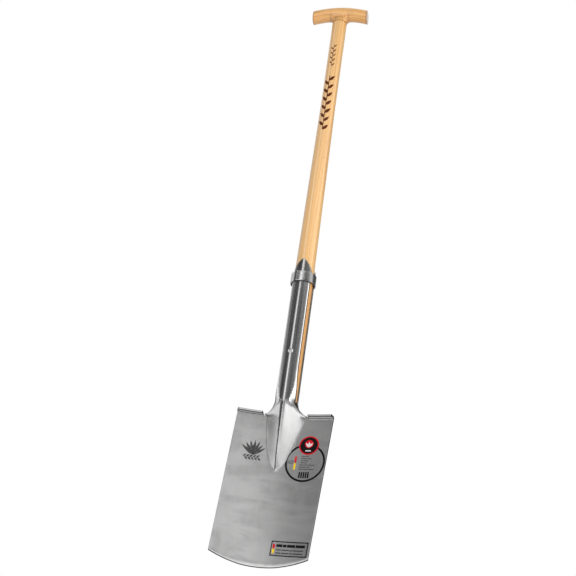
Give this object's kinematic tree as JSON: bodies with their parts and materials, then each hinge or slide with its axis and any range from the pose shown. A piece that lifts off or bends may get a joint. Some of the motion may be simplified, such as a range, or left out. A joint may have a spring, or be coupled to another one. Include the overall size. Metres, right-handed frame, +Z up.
{
  "type": "garden spade",
  "caption": "Strapped digging spade: dished blade with folded treads, two straps, retaining ring, turned wooden shaft and wedged T grip.",
  "frame": {"origin": "middle of the base of the spade's box, below the blade's cutting edge", "axes": "+Z up along the shaft from the blade to the T grip, -Y out of the blade's hollow front, +X along the grip to the right seen from the front"},
  "size_m": [0.1798, 0.0756, 1.1582],
  "materials": {
    "blade_steel": "satin stainless steel with fine brushing down the blade, polished on the strap",
    "strap_steel": "polished stainless steel",
    "ring_steel": "bright polished steel band",
    "rivet_steel": "bright domed rivet heads",
    "shaft_wood": "clear lacquered pale hardwood, grain along the shaft",
    "grip_wood": "clear lacquered pale hardwood, grain along the grip",
    "wedge_wood": "darker hardwood end grain, lacquered over"
  },
  "bodies": {
    "root": {"blade": "blade_steel", "rear_strap": "strap_steel", "retaining_ring": "ring_steel", "strap_rivet": "rivet_steel", "shaft": "shaft_wood", "t_grip": "grip_wood", "grip_wedge": "wedge_wood"}
  },
  "joints": []
}
